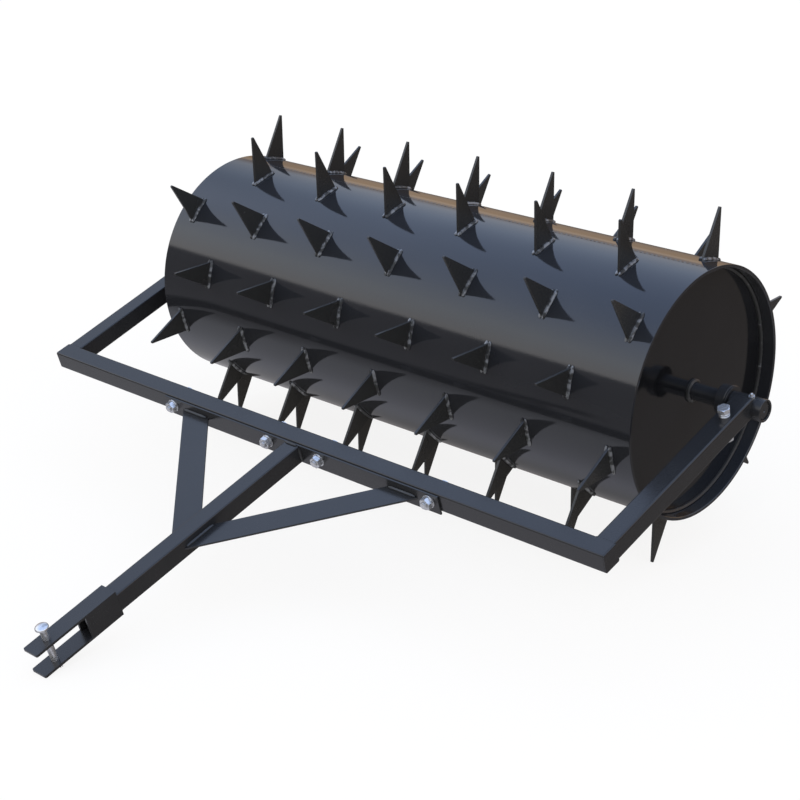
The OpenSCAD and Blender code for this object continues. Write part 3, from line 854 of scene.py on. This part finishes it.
class AERATOR_OT_axle(bpy.types.Operator):
    """Turn the axle with its set collars, socket screws and thrust washers"""
    bl_idname = "aerator.axle"
    bl_label = "Axle"

    def execute(self, context):
        axle, at = context.scene.aerator_axle, layout(context.scene)
        radius, end, chamfer = axle.diameter / 2, at.axle_half, 0.001
        centre_r, centre_depth = 0.003, 0.004
        half = [(0.0, end - centre_depth), (centre_r, end), (radius - chamfer, end),
                (radius, end - chamfer)]
        bar = Piece("axle_bar", axle_steel())
        bar.add(turned(half + [(r, -z) for r, z in reversed(half)], 72), at.on_axle)
        bar.finish("drum", "black_paint", "axle")

        screws = Piece("socket_screws", zinc_plate())
        washers = Piece("thrust_rings", frame_paint())
        half_width, edge, proud, inset, thin_edge = axle.collar_width / 2, 0.0006, 0.0006, 0.001, 0.0003
        for side in SIDES:
            place = at.on_axle @ move(z=side * (at.collar + half_width))
            collar = Piece("collar_" + SIDES[side], frame_paint())
            collar.add(ring(at.collar_r, radius, -half_width, half_width, edge), place)
            collar.finish("drum", "black_paint", "set_collar_" + SIDES[side])
            screw = self.socket_screw(axle.set_screw, axle.collar_wall + proud)
            screws.add(screw, place @ turn(90.0, "Y") @ move(z=radius))
            low, high = sorted((side * at.thrust, side * (at.thrust + axle.thrust)))
            washers.add(ring(at.collar_r - inset, radius + SLACK, low, high, thin_edge), at.on_axle)
        screws.finish("drum", "bright_zinc", "set_screws")
        washers.finish("drum", "black_paint", "thrust_washers")
        return {"FINISHED"}

    def socket_screw(self, diameter, height):
        """A headless screw along z with a hexagon socket in its end."""
        shape = bmesh.new()
        bmesh.ops.create_cone(shape, cap_ends=True, segments=36, radius1=diameter / 2,
                              radius2=diameter / 2, depth=height)
        bmesh.ops.translate(shape, vec=(0, 0, height / 2), verts=shape.verts)
        top = max(shape.faces, key=lambda f: f.calc_center_median().z)
        bmesh.ops.inset_region(shape, faces=[top], thickness=diameter * 0.22, use_even_offset=True)
        to_hexagon(top.verts, diameter * 0.5)
        sunk = bmesh.ops.extrude_face_region(shape, geom=[top])["geom"]
        bmesh.ops.translate(shape, vec=(0, 0, -diameter * 0.35), verts=verts_of(sunk))
        if top.is_valid:
            bmesh.ops.delete(shape, geom=[top], context="FACES_ONLY")
        return shape


class AERATOR_OT_bearings(bpy.types.Operator):
    """Make the bearing carriers, a sleeve on a tang each, and their grease fittings"""
    bl_idname = "aerator.bearings"
    bl_label = "Bearings"

    def execute(self, context):
        axle, tubes, at = context.scene.aerator_axle, context.scene.aerator_frame, layout(context.scene)
        fittings = Piece("grease_nipples", zinc_plate())
        loose, air = 0.0005, 0.0003
        tang = tubes.tube - 2 * tubes.wall - loose
        top, shelf = tang / 2, at.sleeve_bore - axle.sleeve_wall / 2 - tubes.arm_rise
        behind, tail = -at.sleeve_r - air, -axle.carrier_bolt - axle.tail
        outline = [(at.arm_end, top), (tail, top), (tail, -top), (behind, -top), (behind, shelf),
                   (at.arm_end, shelf)]
        half = axle.sleeve_length / 2
        lengthways = turn(90.0, "Z") @ turn(90.0, "X")
        for side in SIDES:
            carrier = Piece("carrier_" + SIDES[side], frame_paint())
            middle = at.on_frame @ move(x=side * (at.sleeve_in + at.sleeve_out) / 2) @ turn(90.0, "Y")
            carrier.add(ring(at.sleeve_r, at.sleeve_bore, -half, half, 0.0006, 72), middle)
            carrier.add(plate(outline, tang), at.on_arms[side] @ lengthways)
            carrier.finish("frame", "black_paint", "bearing_carrier_" + SIDES[side])

            sunk, hexagon_height = 0.0004, 0.0042
            foot = at.on_frame @ move(x=side * at.fitting_x, z=at.sleeve_r - sunk)
            fittings.add(hexagon(axle.fitting + 0.002, hexagon_height, 24), foot)
            neck, ball = axle.fitting / 2 - 0.001, axle.fitting / 2 - 0.0008
            nipple = [(0, 0.004), (neck + 0.0006, 0.004), (neck, 0.0050), (neck - 0.0003, 0.0058),
                      (ball, 0.0066), (ball, 0.0072), (ball - 0.0007, 0.0080), (0.0006, 0.0083),
                      (0.0004, 0.0079), (0, 0.0079)]
            fittings.add(turned(nipple, 28), foot)
        fittings.finish("frame", "bright_zinc", "grease_fittings")
        return {"FINISHED"}


class AERATOR_OT_frame(bpy.types.Operator):
    """Weld the two arms, coped to the sleeves, to the closed front bar"""
    bl_idname = "aerator.frame"
    bl_label = "Frame"

    def execute(self, context):
        tubes, at = context.scene.aerator_frame, layout(context.scene)
        welds = Piece("frame_welds", weld_paint("painted"))
        flush = Piece("ground_welds", frame_paint())
        cope_gap, above_foot, below_top = 0.00025, 0.003, 0.0028
        half, cope, seat = tubes.tube / 2, at.sleeve_r + cope_gap, tubes.fillet * SEAT
        deep, beside, over, level = tubes.corner, 0.0012, 0.0003, half - 0.0001
        ground = plate([(at.arm_in + deep, -deep), (at.arm_out - beside, -deep),
                        (at.arm_out - beside / 2, over), (at.arm_in + deep * 0.6, over)], deep, 0.0002)
        for side in SIDES:
            arm = Piece("arm_tube_" + SIDES[side], frame_paint())
            stock = square_tube(tubes.tube, tubes.wall, tubes.corner, at.arm_run, side_cuts=14)
            # local z runs from over the axle to the bar and local y is the arm's z
            for vert in stock.verts:
                if vert.co.z > at.arm_run / 2:
                    vert.co.z = at.arm_run - vert.co.y * math.tan(at.arm_tilt)
                else:
                    above = vert.co.y + tubes.arm_rise
                    vert.co.z = max(-at.arm_end, math.sqrt(max(0.0, cope ** 2 - above ** 2)))
            arm.add(stock, at.on_arms[side] @ turn(90.0, "X"))
            arm.finish("frame", "black_paint", "arm_" + SIDES[side])
            inside = (side * (at.arm_in - seat), at.bar_back + seat)
            seam = weld_line((*inside, -half + above_foot), (*inside, half - below_top), tubes.fillet, side)
            welds.add(seam, at.on_frame)
            for way in SIDES:
                flush.add(ground, at.on_frame @ move(0, at.bar_back, way * (level - deep / 2))
                          @ Matrix.Diagonal((side, 1, 1, 1)), keep=True)
        ground.free()
        bar = Piece("bar_tube", frame_paint())
        bar.add(square_tube(tubes.tube, tubes.wall, tubes.corner, 2 * at.arm_out),
                at.on_frame @ move(-at.arm_out, at.bar_mid) @ turn(90.0, "Y"))
        bar.finish("frame", "black_paint", "front_bar")
        caps = Piece("bar_caps", frame_paint())
        for side in SIDES:
            cap = round_square(tubes.tube, tubes.corner)
            cap = rounded(raised(cap, cap.faces[:], tubes.end_plate), sharp=60.0)
            start = at.arm_out if side > 0 else -at.arm_out - tubes.end_plate
            caps.add(cap, at.on_frame @ move(start, at.bar_mid) @ turn(90.0, "Y"))
        caps.finish("frame", "black_paint", "bar_end_plates")
        flush.finish("frame", "black_paint")
        welds.finish("frame", "black_paint")
        return {"FINISHED"}


class AERATOR_OT_drawbar(bpy.types.Operator):
    """Weld the cross plate, the tongue tube and the two braces together"""
    bl_idname = "aerator.drawbar"
    bl_label = "Drawbar"

    def execute(self, context):
        bar, at = context.scene.aerator_drawbar, layout(context.scene)
        half_length, half_height = bar.plate_length / 2, bar.plate_height / 2
        cross = Piece("drawbar_plate", frame_paint())
        strip = plate([(-half_length, -half_height), (half_length, -half_height), (half_length, half_height),
                       (-half_length, half_height)], bar.plate, 0.0006)
        cross.add(strip, at.on_bar @ move(y=at.plate_back - bar.plate / 2) @ turn(90.0, "X"))
        cross.finish("frame", "black_paint", "cross_plate")

        tongue = Piece("tongue_bar", frame_paint())
        tongue.add(square_tube(bar.tongue, bar.tongue_wall, bar.tongue_corner, bar.tongue_length),
                   at.on_bar @ move(y=at.plate_front) @ turn(90.0, "X"))
        tongue.finish("frame", "black_paint", "tongue_tube")

        welds = Piece("drawbar_welds", weld_paint("painted"))
        seat, half, fillet = bar.fillet * SEAT, bar.tongue / 2, bar.fillet
        front, beside = at.plate_front - seat, half + seat
        run, rise = bar.brace_x - half, bar.brace_y
        slant = math.hypot(run, rise)
        foot, tip = bar.brace_width / 2 * slant / rise, bar.brace_width / 2 * slant / run
        short, ends = 0.004, half - 0.003
        for side in SIDES:
            brace = Piece("brace_strip_" + SIDES[side], frame_paint())
            corners = [(bar.brace_x - foot, 0.0), (bar.brace_x + foot, 0.0), (half, -rise - tip),
                       (half, -rise + tip)]
            place = at.on_bar @ move(y=at.plate_front) @ Matrix.Diagonal((side, 1, 1, 1))
            brace.add(plate(corners, bar.brace), place)
            brace.finish("frame", "black_paint", "brace_" + SIDES[side])
            seams = []
            for face in SIDES:
                level = face * (bar.brace / 2 + seat)
                seams += [(place, fillet, face + side, (bar.brace_x - foot + short, -seat, level),
                           (bar.brace_x + foot - short, -seat, level)),
                          (place, fillet, face - side, (beside, -rise - tip + short, level),
                           (beside, -rise + tip - short, level))]
            seams += [(at.on_bar, fillet, side, (side * beside, front, -ends), (side * beside, front, ends)),
                      (at.on_bar, fillet * 0.8, side, (-ends, front, side * beside),
                       (ends, front, side * beside))]
            for spot, radius, seed, start, end in seams:
                welds.add(weld_line(start, end, radius, seed), spot)
        welds.finish("frame", "black_paint")
        return {"FINISHED"}


class AERATOR_OT_clevis(bpy.types.Operator):
    """Finish the clevis with broken edges and weld it to the tongue"""
    bl_idname = "aerator.clevis"
    bl_label = "Clevis"

    def execute(self, context):
        bar, at = context.scene.aerator_drawbar, layout(context.scene)
        shape = bmesh.new()
        shape.from_mesh(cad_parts["clevis"].data)
        merge(shape)
        bmesh.ops.dissolve_limit(shape, angle_limit=math.radians(1.0), verts=shape.verts, edges=shape.edges)
        clevis = Piece("clevis_body", frame_paint(), weld_paint("painted"))
        clevis.add(rounded(shape, sharp=50.0))
        half, sunk, bead = bar.tongue / 2, 0.0006, 0.0022
        behind, level, end = at.tongue_front + sunk, half + sunk, half - 0.002
        for side in SIDES:
            seam = weld_line((-end, behind, side * level), (end, behind, side * level), bead, side)
            clevis.add(seam, at.on_bar, finish=1)
        clevis.finish("frame", "black_paint", "clevis")
        return {"FINISHED"}


class AERATOR_OT_hitch_pin(bpy.types.Operator):
    """Turn the domed hitch pin and bend its cotter"""
    bl_idname = "aerator.hitch_pin"
    bl_label = "Hitch pin"

    def execute(self, context):
        hitch, at = context.scene.aerator_hitch, layout(context.scene)
        radius, head, chamfer = hitch.pin / 2, hitch.head / 2, 0.001
        air, rim, fillet, edge = 0.0001, 0.0012, 0.0002, 0.0004
        low = at.ear_bottom - ((hitch.pin_back - radius) * math.tan(at.tilt) - air)
        under = at.ear_top + hitch.head_rise + air
        dome = hitch.head_height - rim
        outline = [(0, low), (radius - chamfer, low), (radius, low + chamfer), (radius, under - fillet),
                   (radius + fillet, under), (head - edge, under), (head, under + edge), (head, under + rim)]
        for angle in (math.radians(a) for a in range(10, 91, 10)):
            outline.append((head * math.cos(angle), under + rim + dome * math.sin(angle)))
        pin = Piece("pin_body", zinc_plate())
        pin.add(turned(outline, 56), at.on_frame @ move(y=at.pin_y))
        pin.finish("pin", "bright_zinc", "hitch_pin")

        wire, outside = hitch.cotter / 4, radius + hitch.cotter / 2
        eye_r = 1.6 * hitch.cotter / 2
        legs = []
        for way, droop in ((-1, 20.0), (1, 45.0)):
            slope = (turn(90.0 + droop, "Y") @ turn(way * -30.0, "X")).to_3x3()
            start = Vector((outside - wire, way * -wire, 0))
            legs.append([start + slope @ Vector((0, 0, hitch.leg * k / 3)) for k in (1, 2, 3)])
        through = (0.85, 0.4, 0.0, -0.4, -0.85)
        middle = Vector((-outside - eye_r, 0, 0))
        eye = [middle + Vector((math.cos(angle), math.sin(angle), 0)) * eye_r
               for angle in (math.radians(a) for a in range(30, 331, 30))]
        path = (legs[0][::-1] + [Vector((outside * k, wire, 0)) for k in through] + eye
                + [Vector((outside * k, -wire, 0)) for k in reversed(through)] + legs[1])
        stations = [(point, ahead - behind, 1.0)
                    for point, ahead, behind in zip(path, path[1:] + path[-1:], path[:1] + path)]
        cotter = Piece("cotter_wire", zinc_plate())
        drop = at.ear_bottom - hitch.cotter_lift - hitch.cotter / 2
        cotter.add(rope(stations, wire, sides=10), at.on_frame @ move(y=at.pin_y, z=drop))
        cotter.finish("pin", "bright_zinc", "cotter_pin")
        return {"FINISHED"}


class AERATOR_OT_fasteners(bpy.types.Operator):
    """Fit the bolts, nuts and washers of the drawbar and of the bearing carriers"""
    bl_idname = "aerator.fasteners"
    bl_label = "Fasteners"

    def execute(self, context):
        fast, tubes = context.scene.aerator_fasteners, context.scene.aerator_frame
        bar, at = context.scene.aerator_drawbar, layout(context.scene)
        spots = [at.on_frame @ move(x, at.plate_front) @ turn(90.0, "X")
                 for x in (-bar.outer_bolt, -bar.inner_bolt, bar.inner_bolt, bar.outer_bolt)]
        self.fit("plate", spots, tubes.tube + bar.plate)
        spots = [at.on_arms[side] @ move(y=-context.scene.aerator_axle.carrier_bolt, z=-tubes.tube / 2)
                 @ turn(180.0, "X") for side in SIDES]
        self.fit("carrier", spots, tubes.tube, fast.spacer_height)
        spacers = Piece("carrier_spacer_set", zinc_plate())
        bore, outer = fast.thread / 2 + SLACK, fast.spacer / 2
        groove, step = 0.0005, fast.spacer_height / 3
        outline = [(bore, 0.0), (outer - groove, 0.0)]
        for low in (0.0, step, 2 * step):
            outline += [(outer, low + groove), (outer, low + step - groove), (outer - groove, low + step)]
        outline.append((bore, fast.spacer_height))
        spacers.add(turned(outline, 40, closed=True),
                    *(spot @ move(z=-tubes.tube - fast.spacer_height) for spot in spots))
        spacers.finish("frame", "bright_zinc", "carrier_spacers")
        return {"FINISHED"}

    def fit(self, name, spots, grip, under=0.0):
        """Sets of bolt, nut and washer; z = 0 is the face under the washer, and z runs out of the nut."""
        fast = bpy.context.scene.aerator_fasteners
        thread, washer = fast.thread / 2, fast.washer_thickness
        bolts, nuts, rings = (Piece(f"{name}_{part}_set", zinc_plate())
                              for part in ("bolt", "nut", "washer"))
        in_nut, under_head = washer + fast.nut - fast.nut / 2, -grip - under
        head, nut = hexagon(fast.flats, fast.head), hexagon(fast.flats, fast.nut)
        shank = turned([(0, under_head), (thread, under_head), (thread, in_nut), (0, in_nut)], 40)
        end = threaded_end(fast.thread, fast.pitch, fast.end + fast.nut / 2)
        thin_edge, overlap = 0.0003, 0.0002
        disc = ring(fast.washer / 2, thread + SLACK, 0.0, washer, thin_edge, 40)
        for number, spot in enumerate(spots):
            spun = turn(17.0 + 41.0 * number, "Z")
            down = spot @ move(z=under_head) @ turn(180.0, "X") @ turn(3.0 + 60.0 * number, "Z")
            bolts.add(head, down, keep=True)
            bolts.add(shank, spot, keep=True)
            bolts.add(end, spot @ move(z=in_nut - overlap) @ spun, keep=True)
            nuts.add(nut, spot @ move(z=washer) @ spun, keep=True)
            rings.add(disc, spot, keep=True)
        for shape in (head, shank, end, nut, disc):
            shape.free()
        bolts.finish("frame", "bright_zinc", f"{name}_bolts")
        nuts.finish("frame", "bright_zinc", f"{name}_nuts")
        rings.finish("frame", "bright_zinc", f"{name}_washers")


OPERATORS = (
    AERATOR_OT_stage, AERATOR_OT_shell, AERATOR_OT_ends, AERATOR_OT_spikes, AERATOR_OT_axle,
    AERATOR_OT_bearings, AERATOR_OT_frame, AERATOR_OT_drawbar, AERATOR_OT_clevis,
    AERATOR_OT_hitch_pin, AERATOR_OT_fasteners,
)


class AERATOR_PT_pieces(bpy.types.Panel):
    """The aerator's pieces and their sizes"""
    bl_idname = "AERATOR_PT_pieces"
    bl_label = "Drum spike aerator"
    bl_space_type = "VIEW_3D"
    bl_region_type = "UI"
    bl_category = "Aerator"

    def draw(self, context):
        for operator in OPERATORS:
            self.layout.operator(operator.bl_idname)
        for name, group in SETTINGS.items():
            box = self.layout.box()
            box.label(text=group.__doc__)
            for key in group.__annotations__:
                box.prop(getattr(context.scene, name), key, text=key.replace("_", " ").capitalize())


def register():
    for group in SETTINGS.values():
        bpy.utils.register_class(group)
    for name, group in SETTINGS.items():
        setattr(bpy.types.Scene, name, PointerProperty(type=group))
    for made in (*OPERATORS, AERATOR_PT_pieces):
        bpy.utils.register_class(made)


def unregister():
    for made in reversed((*OPERATORS, AERATOR_PT_pieces)):
        bpy.utils.unregister_class(made)
    for name, group in SETTINGS.items():
        delattr(bpy.types.Scene, name)
        bpy.utils.unregister_class(group)


def main():
    register()
    for operator in OPERATORS:
        family, action = operator.bl_idname.split(".")
        getattr(getattr(bpy.ops, family), action)()


if __name__ == "__main__":
    main()
